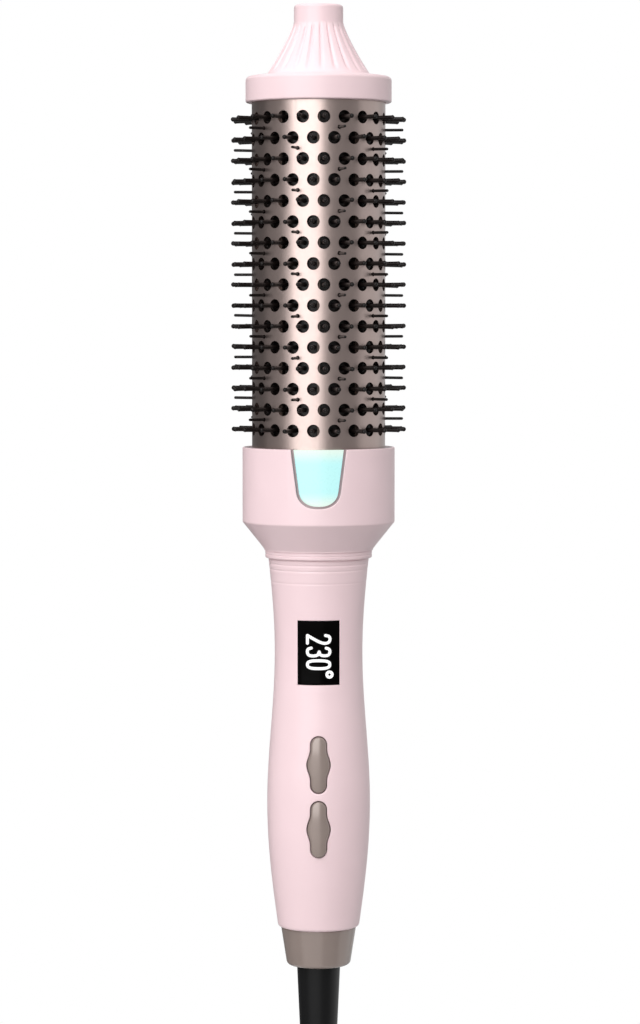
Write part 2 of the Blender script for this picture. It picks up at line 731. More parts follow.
def cool_tip(s):
    """The cool tip's surface: its outline carried round, with flutes cut into the flare.

    A flute's depth is the square of the cosine across its share of the pitch, and fades out in a smooth
    step at its upper end and its foot.
    """
    per_flute, turned_by = 12, 0.27
    top_gap, top_fade, foot_past, foot_fade = 0.4, 2.2, 0.2, 2.6
    profile, nub_low, flare_low = tip_profile(s)
    grid, wrap = revolved(profile, s.flutes * per_flute)
    phi = np.linspace(0, s.flutes, s.flutes * per_flute, endpoint=False)
    across = np.abs((phi + turned_by) % 1 - 0.5) / (s.flute_share / 2)
    z = profile[:, 1:]
    fade = np.clip((nub_low - top_gap - z) / top_fade, 0, 1)
    fade = fade * np.clip((z - flare_low + foot_past) / foot_fade, 0, 1)
    fade = fade * fade * (3 - 2 * fade)
    depth = s.flute_depth * np.cos(math.pi / 2 * np.clip(across, 0, 1)) ** 2 * fade
    r = np.linalg.norm(grid[..., :2], axis=-1)
    grid[..., :2] *= (1 - depth / np.maximum(r, 1e-6))[..., None]
    return [(grid, wrap)]


# The light window's round foot, the power of its curve, and the gap round the window
WINDOW_FOOT_H, WINDOW_FOOT_POWER, WINDOW_GAP = 4.2, 2.4, 0.05


def window_half(z, margin, s):
    """Half the light window's width at a height.

    It grows with the height over the window's foot, times a power curve that rounds the foot off.
    """
    up = np.maximum(0, z - (COLLAR_TOP - s.window_h) + margin)
    t = 1 - np.minimum(1, up / (WINDOW_FOOT_H + margin))
    wide = s.window_w / 2 + margin + s.window_lean * up
    return wide * (1 - t**WINDOW_FOOT_POWER) ** (1 / WINDOW_FOOT_POWER)


def window_rows(margin, top, s, foot=12, side=10):
    """Heights up the light window's outline, close together at its round foot."""
    low = COLLAR_TOP - s.window_h - margin
    rise = low + (WINDOW_FOOT_H + margin) * np.linspace(0, 1, foot + 1) ** 2
    return np.concatenate([rise, np.linspace(rise[-1], top, side + 1)[1:]])


def both_sides(half, y, z):
    """A line up one side of an opening and its mirror image, joined at the foot."""
    side = np.stack([half, y, z], -1)
    return np.concatenate([(side * [-1, 1, 1])[::-1], side[1:]])


def collar_patches(s):
    """The collar: a turned wall with the light window's opening and the stepped channel round it."""
    edge, lip_r, bevel, wide, cols, side_cols = 0.3, 0.2, 0.15, 9.0, 9, 40
    arc = np.linspace(0, math.pi / 2, 5)[1:]
    rim_z = COLLAR_TOP - edge + edge * np.sin(arc)
    rim_r = COLLAR_R - edge + edge * np.cos(arc)
    cone_top, floor_r = COLLAR_LOW + 0.3 + s.cone_h, COLLAR_R - s.moat_depth
    bore_low = cone_top + 3.5

    def rows(margin):
        z = np.concatenate([window_rows(margin, COLLAR_TOP - edge, s), rim_z])
        r = np.concatenate([np.full(len(z) - len(rim_z), COLLAR_R), rim_r])
        return z, r, window_half(z, margin, s)

    z, r, gap = (a[::-1] for a in rows(s.moat_w + lip_r))
    below = rounded([
        (COLLAR_R, z[-1], 0), (COLLAR_R, cone_top, 1.0), (RING_R + 0.35, COLLAR_LOW + 0.4, 0.25),
        (RING_R + 0.3, COLLAR_LOW, 0.1), (NECK_BORE_R, COLLAR_LOW, 0),
        (NECK_BORE_R, bore_low - 5.65, 0), (s.collar_bore, bore_low, 0.5),
        (s.collar_bore, COLLAR_TOP - s.window_h - 0.06, 0),
    ])
    straight = np.linspace(z[-1], cone_top + 1.2, 6)[1:-1]
    below = np.vstack([np.stack([np.full(len(straight), COLLAR_R), straight], -1), below[1:]])
    inner = window_rows(WINDOW_GAP, COLLAR_TOP, s)
    all_r = np.concatenate([r, below[:, 0], np.full(len(inner) - 1, s.collar_bore)])
    all_z = np.concatenate([z, below[:, 1], inner[1:]])
    open_by = np.concatenate([gap, 0 * below[:, 0], window_half(inner[1:], WINDOW_GAP, s)])
    patches = [
        flank(all_r, all_z, wide, math.pi, -1, side_cols),
        flank(all_r, all_z, -wide, -math.pi, -1, side_cols),
        field(all_r, all_z, -wide, -open_by, -1, cols),
        field(all_r, all_z, open_by, wide, -1, cols),
    ]
    steps = [(m, COLLAR_R - d) for m, d in lip(s.moat_w, lip_r)]
    steps += [(s.moat_w, floor_r + bevel), (s.moat_w - bevel, floor_r), (WINDOW_GAP, floor_r)]
    rings = []
    for margin, ring_r in steps:
        z, r, half = rows(margin)
        rings.append(both_sides(half, -np.sqrt(np.minimum(r, ring_r) ** 2 - half**2), z))
    z = np.concatenate([inner, np.full(len(rim_z), COLLAR_TOP)])
    half = window_half(z, WINDOW_GAP, s)
    rings.append(both_sides(half, -np.sqrt(s.collar_bore**2 - half**2), z))
    return [*patches, (np.stack(rings), False)]


def window_patches(s):
    """The light window: a plate that follows the collar's round wall, with a soft edge."""
    sunk, edge, thick = 0.35, 0.3, 1.9
    across = np.linspace(-1, 1, 17)
    face_r = COLLAR_R - sunk

    def face(margin):
        z = window_rows(margin, COLLAR_TOP - 0.1 + min(margin, 0), s)
        return window_half(z, margin, s)[:, None] * across, z[:, None]

    def at(r):
        return lambda x, z: -np.sqrt(r**2 - x**2)

    steps = [(m, at(face_r - d)) for m, d in lip(0, edge, way=-1)]
    return plate(face, [*steps, (0, at(face_r - thick))])


def neck_profile():
    """The neck ring's closed outline, with a fine groove round its middle."""
    groove = 0.15
    return rounded([
        (NECK_BORE_R, 0, 0), (NECK_BORE_R, -RING_TOP, 0.1), (RING_R, -RING_TOP, 0.4),
        (RING_R, -groove, 0.15), (RING_R - groove, 0, 0.1), (RING_R, groove, 0.15),
        (RING_R, RING_TOP, 0.2), (NECK_BORE_R, RING_TOP, 0.1), (NECK_BORE_R, 0, 0),
    ])


def handle_r(z, s):
    """The handle's radius at a height.

    It follows a quarter sine from the neck to the waist, half a cosine from there to the belly, and a
    quarter cosine to the lower end.
    """
    u = HANDLE_TOP - np.asarray(z, float)
    to_waist = np.clip(u / s.waist_at, 0, 1)
    to_belly = (u - s.waist_at) / (s.belly_at - s.waist_at)
    to_end = (u - s.belly_at) / (HANDLE_TOP - HANDLE_END - s.belly_at)
    neck = s.waist_r + (s.neck_r - s.waist_r) * (1 - np.sin(math.pi / 2 * to_waist))
    middle = s.waist_r + (s.belly_r - s.waist_r) * (1 - np.cos(math.pi * to_belly)) / 2
    lower = s.end_r + (s.belly_r - s.end_r) * np.cos(math.pi / 2 * to_end)
    return np.where(u < s.waist_at, neck, np.where(u < s.belly_at, middle, lower))


# Fine grooves under the neck ring: their heights, each one's share of the full depth, and their width
GROOVE_Z, GROOVE_SHARE, GROOVE_W = (-2.7, -4.3, -7.9), (1, 0.8, 0.5), 0.24


def outer_r(z, s):
    """The handle's radius less its fine grooves, each a bell curve."""
    grooves = np.exp(-(((np.asarray(z, float)[..., None] - GROOVE_Z) / GROOVE_W) ** 2))
    return handle_r(z, s) - s.groove_depth * (grooves * GROOVE_SHARE).sum(-1)


def inner_r(z, s):
    """The radius of the handle's inner wall."""
    return handle_r(z, s) - s.shell_wall


def key_rows(margin, s, round_steps=8, side_steps=16):
    """Places along a key and half its width there.

    The ends are round, and the sides between them swell at the middle with the square of a cosine.
    """
    side, straight, swell_half = s.key_w / 2 + margin, s.key_len / 2 - s.key_w / 2, 4.5
    a = np.linspace(math.pi / 2, 0, round_steps + 1)[:-1]
    mid = np.linspace(-straight, straight, side_steps + 1)
    t = np.concatenate([-straight - side * np.sin(a), mid, (straight + side * np.sin(a))[::-1]])
    swell = s.key_swell * np.cos(math.pi / 2 * np.clip(np.abs(t) / swell_half, 0, 1)) ** 2
    into_end = np.maximum(0, np.abs(t) - straight)
    return t, np.sqrt(np.maximum(0, side**2 - into_end**2)) + swell


def hole_rows(radius, steps=20):
    """Places down a round hole and half its width there."""
    a = np.linspace(-math.pi / 2, math.pi / 2, steps + 1)
    return radius * np.sin(a), np.maximum(0, radius * np.cos(a))


def down_past(z_from, z_to, openings, step=2.4):
    """Heights from one down to another with half the opening's width at each.

    openings holds each opening's middle height with its rows; between openings the heights are even.
    """
    zs, gaps, at = [], [], z_from
    for middle, (t, half) in openings:
        top = middle + t[-1]
        between = np.linspace(at, top, max(2, round((at - top) / step)) + 1)[:-1]
        zs += [between, middle + t[::-1]]
        gaps += [0 * between, half[::-1]]
        at = middle - t[-1]
    last = np.linspace(at, z_to, max(2, round((at - z_to) / step)) + 1)
    zs.append(last if not openings else last[1:])
    gaps.append(0 * zs[-1])
    return np.concatenate(zs), np.concatenate(gaps)


def shell_ends(s):
    """The shells' outline at the lower rim, from outside in, and at the neck, from inside out."""
    bore, rim_top, neck_low = s.end_r - s.shell_wall, HANDLE_END + 1.3, HANDLE_TOP - 0.8
    rim = rounded([
        (handle_r(rim_top, s), rim_top, 0), (s.end_r, HANDLE_END, s.rim_edge), (bore, HANDLE_END, 0.3),
        (bore, CAP_BORE_TOP, 0), (inner_r(CAP_BORE_TOP, s), CAP_BORE_TOP, 0),
    ])
    neck = rounded([
        (inner_r(HANDLE_TOP, s), HANDLE_TOP, 0), (SPIGOT_BORE_R, HANDLE_TOP, 0),
        (SPIGOT_BORE_R, SPIGOT_TOP, 0.2), (SPIGOT_R, SPIGOT_TOP, 0.3), (SPIGOT_R, HANDLE_TOP, 0),
        (s.neck_r, HANDLE_TOP, 0.3), (outer_r(neck_low, s), neck_low, 0),
    ])
    return rim, neck


def opening(rows, x0, z0):
    """The face of an opening round x0 and z0: rows gives places along it and half its width."""
    def face(margin):
        t, half = rows(margin)
        return x0 + half[:, None] * [-1, 1], z0 + t[:, None]
    return face


def front_shell(s):
    """The front half of the handle: a closed wall with openings for the display and the two keys."""
    f, cols, side_cols, display_rows = s.shell_edge, 8, 26, 13
    play, rim_depth, fine_to = 0.05, 1.6, -9.5
    outer, inner, keys = partial(outer_r, s=s), partial(inner_r, s=s), partial(key_rows, s=s)
    half_d = s.display_w / 2 + f
    high, low = LENS_TOP + play + f, LENS_LOW - play - f
    zone = np.linspace(high, low, display_rows)
    rim, neck = shell_ends(s)
    out_keys, in_keys = ([(z, keys(margin)) for z in KEY_Z] for margin in (s.key_gap + f, s.key_gap))
    out_low, out_gap = down_past(low, rim[0, 1], out_keys)
    in_low, in_gap = (a[::-1] for a in down_past(low, rim[-1, 1], in_keys))
    in_top = np.linspace(high, neck[0, 1], 14)
    out_top = np.concatenate([np.linspace(neck[-1, 1], fine_to, 64), np.linspace(fine_to, high, 8)[1:]])
    low_r = np.concatenate([outer(out_low), rim[1:-1, 0], inner(in_low)])
    low_z = np.concatenate([out_low, rim[1:-1, 1], in_low])
    low_gap = np.concatenate([out_gap, 0 * rim[1:-1, 0], in_gap])
    top_r = np.concatenate([inner(in_top), neck[1:-1, 0], outer(out_top)])
    top_z = np.concatenate([in_top, neck[1:-1, 1], out_top])
    r = np.concatenate([outer(zone)[:-1], low_r, inner(zone)[::-1][1:-1], top_r])
    z = np.concatenate([zone[:-1], low_z, zone[::-1][1:-1], top_z])
    patches = [flank(r, z, k * half_d, k * math.pi / 2, -1, side_cols) for k in (1, -1)]
    for part_r, part_z, gap in ((low_r, low_z, low_gap), (top_r, top_z, 0 * top_r)):
        patches.append(field(part_r, part_z, -half_d, -gap, -1, cols))
        patches.append(field(part_r, part_z, gap, half_d, -1, cols))
    across = np.linspace(-1, 1, 2 * cols + 1)

    def display(margin):
        tall = (high - low) / 2 - f + margin
        rows = (high + low) / 2 + tall * np.linspace(1, -1, display_rows)
        return (s.display_w / 2 + margin) * across, rows[:, None]

    def edge(margin):
        return [(m, on_wall(outer, depth=d)) for m, d in lip(margin, f)]

    rim_foot = [(0, on_wall(outer, depth=rim_depth)), (f, on_wall(inner))]
    patches.append(band(display, edge(0) + rim_foot))
    for z in KEY_Z:
        patches.append(band(opening(keys, 0, z), [*edge(s.key_gap), (s.key_gap, on_wall(inner))]))
    return patches


# The rear shell's screws (x, z), the radii of their holes and bosses, and where seat and boss end
REAR_SCREWS = ((6.5, -10.0), (0.0, -96.5))
SCREW_HOLE_R, SCREW_BOSS_R, SCREW_SEAT_Y, BOSS_END_Y = 2.3, 2.7, 8.6, 7.4


def rear_shell(s):
    """The rear half of the handle: the same wall with two screw holes, each sunk to its seat on a boss.

    The rows of points follow a line from one screw to the other along half a cosine.
    """
    f, cols, side_cols, wide, clear = s.shell_edge, 8, 30, 3.3, 4
    outer, inner = partial(outer_r, s=s), partial(inner_r, s=s)
    rim, neck = shell_ends(s)
    out_holes, in_holes = (
        [(z, hole_rows(radius)) for _, z in REAR_SCREWS] for radius in (SCREW_HOLE_R + f, SCREW_BOSS_R)
    )
    out_z, out_gap = down_past(neck[-1, 1], rim[0, 1], out_holes, step=1.2)
    in_z, in_gap = (a[::-1] for a in down_past(neck[0, 1], rim[-1, 1], in_holes))
    r = np.concatenate([outer(out_z), rim[1:-1, 0], inner(in_z), neck[1:, 0]])
    z = np.concatenate([out_z, rim[1:-1, 1], in_z, neck[1:, 1]])
    gap = np.concatenate([out_gap, 0 * rim[1:-1, 0], in_gap, 0 * neck[1:, 0]])
    upper, lower = REAR_SCREWS[0][1] - clear, REAR_SCREWS[1][1] + clear
    down = np.clip((upper - z) / (upper - lower), 0, 1)
    middle = REAR_SCREWS[0][0] * (1 + np.cos(math.pi * down)) / 2
    patches = [flank(r, z, middle + k * wide, k * math.pi / 2, 1, side_cols) for k in (1, -1)]
    patches.append(field(r, z, middle - wide, middle - gap, 1, cols))
    patches.append(field(r, z, middle + gap, middle + wide, 1, cols))
    for x0, z0 in REAR_SCREWS:
        face, seat, end = opening(hole_rows, x0, z0), level(SCREW_SEAT_Y), level(BOSS_END_Y)
        sunk = [(SCREW_HOLE_R + m, on_wall(outer, 1, d)) for m, d in lip(0, f)]
        patches.append(band(face, [*sunk, (SCREW_HOLE_R, seat), (0, seat)]))
        patches.append(band(face, [(SCREW_BOSS_R, on_wall(inner, 1)), (SCREW_BOSS_R, end), (0, end)]))
    return patches


def lens_patches(s):
    """The display's lens: a plate that follows the handle's form, a little sunk, with a soft edge."""
    play, sunk, edge, thick = 0.05, 0.25, 0.2, 1.5
    form = partial(handle_r, s=s)

    def face(margin):
        return (
            (s.display_w / 2 + margin) * np.linspace(-1, 1, 17),
            np.linspace(LENS_LOW - margin, LENS_TOP + margin, 21)[:, None],
        )

    steps = [(m, on_wall(form, depth=sunk + d)) for m, d in lip(-play, edge, way=-1)]
    return plate(face, [*steps, (-play, on_wall(form, depth=thick))])


def key_patches(middle, front, s):
    """A key: a crowned face with a soft edge, its wall, and the flange that holds it behind the shell.

    The crown is an arc across the key whose radius is five millimetres, less 0.8 times the cube of
    the share of the way to the end.
    """
    crown_r, droop, flange_w, flange_h = 5, 0.8, 0.8, 1
    half_w, half_len = 4.1, 9
    across = np.sin(np.linspace(-math.pi / 2, math.pi / 2, 15))
    inside = [math.sqrt(inner_r(middle + d, s) ** 2 - half_w**2) for d in (-half_len, half_len)]
    flange = s.key_gap - min(inside)

    def face(margin):
        t, half = key_rows(margin, s)
        return half[:, None] * across, middle + t[:, None]

    def crown(depth):
        def height(x, z):
            c = crown_r - droop * np.abs((z - middle) / (s.key_len / 2 + flange_w)) ** 3
            return front + crown_r + depth - np.sqrt(np.maximum(c**2 - x**2, 0.01))
        return height

    steps = [(m, crown(d)) for m, d in lip(0, s.key_edge, 4, -1)]
    ends = ((0, flange), (flange_w, flange), (flange_w, flange + flange_h))
    return plate(face, steps + [(m, level(y)) for m, y in ends])


def figure_strokes(s):
    """The lines of the lit figures on a flat grid, as lists of points (along the reading line, up)."""
    a = np.linspace(0, 2 * math.pi, 41)
    w, h = (s.figure_w - s.stroke_w) / 2, (s.figure_h - s.stroke_w) / 2
    two = [
        smooth_line([(-1, 0.62), (-0.72, 0.93), (0, 1.02), (0.74, 0.9), (1, 0.55), (0.72, 0.14),
                     (0.0, -0.38), (-0.95, -0.97)], 0.05),
        np.array([(-0.98, -1.0), (1.0, -1.0)]),
    ]
    three = [
        smooth_line([(-0.98, 0.68), (-0.7, 0.93), (0, 1.01), (0.75, 0.88), (0.95, 0.52), (0.7, 0.17),
                     (-0.05, 0.05)], 0.05),
        smooth_line([(-0.05, 0.05), (0.75, -0.1), (1, -0.5), (0.78, -0.88), (0, -1.01), (-0.72, -0.93),
                     (-1, -0.66)], 0.05),
    ]
    nought = [np.stack([np.sign(np.cos(a)) * np.abs(np.cos(a)) ** 0.7,
                        np.sign(np.sin(a)) * np.abs(np.sin(a)) ** 0.7], -1)]
    lines = []
    for place, strokes in enumerate((two, three, nought)):
        for stroke in strokes:
            lines.append(np.array(stroke) * [w, h] + [place * s.figure_pitch, 0])
    mark = np.stack([np.cos(a), np.sin(a)], -1) * 0.75 + [10.05, 3.1]
    return lines + [mark]


def figure_patches(s):
    """The lit figures: ribbons with round ends, laid on the lens and reading down the handle."""
    patches = []
    spacing, caps, depth, rise, over_middle = 0.12, 5, 0.25, 0.07, 3.9
    start = (LENS_LOW + LENS_TOP) / 2 + over_middle
    section = [(-1, 0), (1, 0), (1, 0.7), (0.9, 1), (-0.9, 1), (-1, 0.7)]
    lift = rise * np.array([up for _, up in section])
    for line in figure_strokes(s):
        closed = np.allclose(line[0], line[-1])
        line = evened(line, spacing)
        if closed:
            line = line[:-1]
            ahead = np.roll(line, -1, 0) - np.roll(line, 1, 0)
        else:
            ahead = np.gradient(line, axis=0)
        ahead /= np.linalg.norm(ahead, axis=1, keepdims=True)
        aside = np.stack([-ahead[:, 1], ahead[:, 0]], -1)
        half = np.full(len(line), s.stroke_w / 2)
        if not closed:
            a = np.linspace(0, math.pi / 2, caps + 1)[:-1]
            out, ends = s.stroke_w / 2 * np.cos(a)[:, None], s.stroke_w / 2 * np.sin(a)
            line = np.vstack([line[0] - ahead[0] * out, line, line[-1] + ahead[-1] * out[::-1]])
            aside = np.vstack([aside[:1].repeat(caps, 0), aside, aside[-1:].repeat(caps, 0)])
            half = np.concatenate([ends, half, ends[::-1]])
        flat = np.stack([line + aside * (half * side)[:, None] for side, _ in section], 1)
        x, z = flat[..., 1], start - flat[..., 0]
        grid = np.stack([x, depth - lift - np.sqrt(handle_r(z, s) ** 2 - x**2), z], -1)
        patches.append((np.concatenate([grid, grid[:1]]) if closed else grid, True))
    return patches


# The strips' curved bases: their inner and outer radius, and half the gap between two of them
BASE_R, BASE_TOP_R, BASE_GAP = 14.75, 16.75, 0.5


def bristle_patches(k, s, spread):
    """One strip of bristles: a curved base, and on it round shafts that each end in a ball."""
    sector = 2 * math.pi / len(STRIPS)
    middle = sector * (k + 0.5)
    half = sector / 2 - math.asin(BASE_GAP / BASE_R)
    phi = middle + np.linspace(-half, half, 9)
    base = np.array([
        (BASE_R, STRIP_LOW), (BASE_TOP_R, STRIP_LOW), (BASE_TOP_R, STRIP_TOP), (BASE_R, STRIP_TOP),
        (BASE_R, STRIP_LOW),
    ])
    wall = turned(base[:, :1], phi, base[:, 1:])
    patches = [(wall, False)]
    patches += [(np.stack([wall[[0, 3], e], wall[[1, 2], e]]), False) for e in (0, -1)]
    row_top = TIP_LOW - s.high_land
    pitch = (row_top - COLLAR_TOP - s.low_land) / (s.rows - 1)
    i = np.arange(s.rows)
    thick = [(middle + sector * c, row_top - pitch * i[(i + n) % 2 == 0])
             for n, c in enumerate((-3 / 8, -1 / 8, 1 / 8, 3 / 8))]
    angle = np.concatenate([np.full(len(z), a) for a, z in thick])
    height = np.concatenate([z for _, z in thick])
    between = i[:-1][(i[:-1] + k) % 2 == 0]
    kinds = [
        (angle, height, s.bristle_d / 2, s.bristle_tip_d / 2, BARREL_R + s.bristle_reach),
        (np.full(len(between), middle), row_top - pitch * (between + 0.5), s.thin_d / 2, s.thin_d / 2,
         BARREL_R + s.thin_reach),
    ]
    turn = np.linspace(0, 2 * math.pi, 8, endpoint=False)
    up = np.array([0, 0, 1.0])
    sink, foot_h, foot_swell = 0.3, 1.5, 1.25
    for a, z, shaft, ball, reach in kinds:
        swing = np.linspace(-math.acos(min(1, shaft / ball)), math.pi / 2, 5)
        ring_r = np.concatenate([[0, shaft * foot_swell, shaft], ball * np.cos(swing)])
        out = np.concatenate([[-sink, -sink, foot_h], reach - BASE_TOP_R - ball * (1 - np.sin(swing))])
        lean = spread.normal(0, s.bristle_lean, (len(a), 2))
        radial = np.stack([np.sin(a), -np.cos(a), 0 * a], -1)
        aside = np.stack([np.cos(a), np.sin(a), 0 * a], -1)
        ahead = radial + lean[:, :1] * aside + lean[:, 1:] * up
        root = radial * BASE_TOP_R + z[:, None] * up
        line = root[:, None] + out[None, :, None] * ahead[:, None]
        ring = np.cos(turn)[:, None] * aside[:, None] + np.sin(turn)[:, None] * up
        grid = line[:, :, None] + ring_r[None, :, None, None] * ring[:, None]
        patches += [(g, True) for g in grid]
    return patches


def cap_profile(s):
    """The end cap's closed outline: skirt and foot, the boot's bore, the cup, and the spigot's lip."""
    spigot, boot_bore = s.end_r - s.shell_wall - 0.05, s.boot_r + 0.1
    bore, cup_low, lip_r = spigot - 1.6, CAP_LOW + 5.9, spigot + 0.6
    return rounded([
        (s.cap_r - 1, HANDLE_END, 0), (s.cap_r, HANDLE_END, 0.25), (s.cap_foot_r + 0.1, CAP_LOW, 1.3),
        (boot_bore, CAP_LOW, 0.35), (boot_bore, cup_low, 0), (bore, cup_low, 0), (bore, CAP_TOP, 0.2),
        (lip_r, CAP_TOP, 0.2), (lip_r, CAP_BORE_TOP, 0), (spigot, CAP_BORE_TOP, 0),
        (spigot, HANDLE_END, 0), (s.cap_r - 1, HANDLE_END, 0),
    ])


def boot_profile(s):
    """The cord boot's outline: it tapers evenly to a soft foot a little thicker than the cord."""
    foot = s.cord_d / 2 + 1.2
    return rounded([
        (0, BOOT_TOP, 0), (s.boot_r, BOOT_TOP, 0), (s.boot_r, CAP_LOW - 1, 2), (foot, BOOT_LOW, 0.8),
        (0, BOOT_LOW, 0),
    ])


# The cord's route below the boot: down and aside to the hank's first run, and from its tie to the plug
DROP_ROUTE = [
    (0, 0, -164), (0, 0, -174), (1.3, -1.7, -184), (5.3, -4.2, -195), (11.1, -5.8, -206),
    (16.6, -6, -216), (21.3, -6, -226), (23.7, -6, -234), (24.5, -6, -242),
]
TAIL_ROUTE = [
    (3, 6, -294), (3, 6, -296), (2.98, 6.07, -298), (2.88, 6.45, -301), (2.59, 7.48, -305),
    (2.11, 9.2, -309), (1.5, 11.4, -312.5), (0.89, 13.6, -316), (0.41, 15.32, -320),
    (0.12, 16.35, -324), (0.02, 16.73, -327), (0, 16.8, -329), (0, 16.8, -332),
]
FOLD_TOP, FOLD_LOW, TIE_Z = -242.0, -346.0, -294.0
# Each pass of the hank: its fold's radius, its distance from the middle at the tie, and its layer
PASSES = [(24.5, 9.5, -6), (18, 3, -6), (18, 3, 0), (24.5, 9.5, 0), (24.5, 9.5, 6), (18, 3, 6)]
# Where the left runs move over to the next pass: the first one's height, how much lower each starts,
# and the height that it takes
OVER_Z, OVER_DROP, OVER_H = -286, 12, 40


def run(z, fold, waist, layer):
    """A run of the hank at the given heights.

    Its x goes from the fold's at the folds to the waist's at the tie in a smooth step.
    """
    t = np.minimum(1, np.abs(z - TIE_Z) / (TIE_Z - FOLD_LOW))
    return np.stack([waist + (fold - waist) * t * t * (3 - 2 * t), 0 * z + layer, z], -1)


def half_circle(radius, layer, way):
    """A fold of the hank: a half circle below the runs (way 1) or above them (-1)."""
    turn = np.linspace(0, math.pi, 33)[1:-1]
    z = (FOLD_LOW if way > 0 else FOLD_TOP) - way * radius * np.sin(turn)
    return np.stack([way * radius * np.cos(turn), 0 * turn + layer, z], -1)


def hank_line():
    """The cord through its hank.

    It runs down the right side, round a half circle and up the left side, where it moves over to the
    next pass along half a cosine, each time a little lower.
    """
    parts = []
    z = np.linspace(FOLD_TOP, FOLD_LOW, 53)
    for n, (now, after) in enumerate(zip(PASSES[:-1], PASSES[1:])):
        rise = z[::-1]
        over = (1 - np.cos(math.pi * np.clip((rise - OVER_Z + OVER_DROP * n) / OVER_H, 0, 1))) / 2
        left = (1 - over)[:, None] * run(rise, *now) + over[:, None] * run(rise, *after)
        parts += [
            run(z, *now), half_circle(now[0], now[2], 1), left * [-1, 1, 1],
            half_circle(after[0], after[2], -1),
        ]
    parts.append(run(np.linspace(FOLD_TOP, TIE_Z, 27)[:-1], *PASSES[-1]))
    return np.concatenate(parts)


def cord_line():
    """The cord's whole centreline from the boot to the plug's relief, evenly spaced."""
    drop, tail = smooth_line(DROP_ROUTE, 1.0), smooth_line(TAIL_ROUTE, 1.0)
    return evened(np.vstack([drop[:-1], hank_line(), tail]), 2.4)


def round_box(a, b, c, count=48):
    """A loop on a rectangle of half sides a and b: four quarter circles of radius c in turn."""
    turn = np.linspace(0, 2 * math.pi, count, endpoint=False) + math.pi / count
    sx, sy = np.sign(np.cos(turn)), np.sign(np.sin(turn))
    return np.stack([sx * (a - c) + c * np.cos(turn), sy * (b - c) + c * np.sin(turn)], -1)


def lofted(rows, centre):
    """A closed body through level sections round a centre, each a rectangle with round corners.

    Each section is (height, half width, half depth, corner radius), and both ends close to a point.
    """
    grid = []
    for z, *sides in rows:
        loop = round_box(*sides) + centre
        grid.append(np.column_stack([loop, np.full(len(loop), z)]))
    grid = np.stack(grid)
    ends = [np.repeat(grid[k].mean(0)[None, None], grid.shape[1], 1) for k in (0, -1)]
    return np.concatenate([ends[0], grid, ends[1]]), True


def plug_rows():
    """Sections of the plug from its relief down.

    The relief tapers and has ring grooves, the shoulders swell from it with a quarter sine, and the
    body has grip grooves and soft edges. Each groove is a cosine cut off at nought.
    """
    body_top, shoulder_h, ring_pitch, grip_pitch = PLUG_LOW + 26, 1.2, 3.4, 4.5
    z = np.linspace(PLUG_TOP, body_top + shoulder_h, 60)
    rings = np.clip(np.cos(2 * math.pi * (z - body_top) / ring_pitch) - 0.35, 0, 1)
    r = 3.9 + 1.1 * (PLUG_TOP - z) / (PLUG_TOP - body_top) - 0.45 * rings * (z < PLUG_TOP - 2)
    r[:3] = [3.2, 3.65, 3.85]
    rows = [(h, q, q, q) for h, q in zip(z, r)]
    for t in np.linspace(0, 1, 7)[1:]:
        ease = math.sin(math.pi / 2 * t)
        rows.append((body_top + shoulder_h * (1 - t**2), 5 + 6.2 * ease, 5 + 1.8 * ease, min(4, 5 - t)))
    for h in np.linspace(body_top - 0.6, PLUG_LOW + 0.8, 40):
        grip = 0.5 * max(0, math.cos(2 * math.pi * (h - body_top + 9) / grip_pitch))
        rows.append((h, 12 - grip * (body_top - 17 < h < body_top - 4), 7.5, 4))
    return rows + [(PLUG_LOW + 0.3, 11.8, 7.3, 3.8), (PLUG_LOW, 11.2, 6.7, 3.2)]


def tie_patches():
    """The cord's tie: a band round the hank with round corners, a little thicker where it overlaps."""
    half_w, half_d, high = TIE_TOP
    low, edge, draw_in = TIE_LOW[2], 0.25, -0.15
    lap_h, lap_half, lap_at, lap_slope = 0.28, 0.5, -1.9, 14
    inner = round_box(half_w - 0.95, half_d - 0.95, 3.0, 96)
    outer = round_box(half_w - 0.3, half_d - 0.3, 3.6, 96)
    turn = np.arctan2(outer[:, 1], outer[:, 0])
    lap = lap_h * np.clip((lap_half - np.abs(turn - lap_at)) * lap_slope, 0, 1)
    away = outer / np.linalg.norm(outer, axis=1, keepdims=True)
    rows = []
    for z, loop, out in (
        (low, inner, 0 * lap), (low, outer, 0 * lap + draw_in), (low + edge, outer, lap),
        (high - edge, outer, lap), (high, outer, 0 * lap + draw_in), (high, inner, 0 * lap),
        (low, inner, 0 * lap),
    ):
        rows.append(np.column_stack([loop + away * out[:, None], np.full(len(loop), z)]))
    return [(np.stack(rows), True)]


# Stage

# How far lamps and cards stand from the brush, and the cards' height
LAMP_DISTANCE, CARD_DISTANCE, CARD_H = 1250, 1000, 1800


def facing(made, azimuth, rise, distance):
    """Stands an object round the brush, facing its middle.

    The azimuth runs from -Y towards +X, and the rise is the angle over level.
    """
    turn, rise = math.radians(azimuth), math.radians(rise)
    out, up = distance * math.cos(rise), distance * math.sin(rise)
    made.location = Vector((out * math.sin(turn), -out * math.cos(turn), up)) * MM
    made.rotation_mode = "QUATERNION"
    made.rotation_quaternion = (-made.location).to_track_quat("-Z", "Y")


def lamp(name, azimuth, rise, size, power, in_gloss=False):
    """A soft rectangular lamp that stands round the brush."""
    light = bpy.data.lights.new(name, "AREA")
    light.shape, light.energy = "RECTANGLE", power
    light.size, light.size_y = size[0] * MM, size[1] * MM
    made = placed(name, light)
    made.visible_glossy = in_gloss
    facing(made, azimuth, rise, LAMP_DISTANCE)


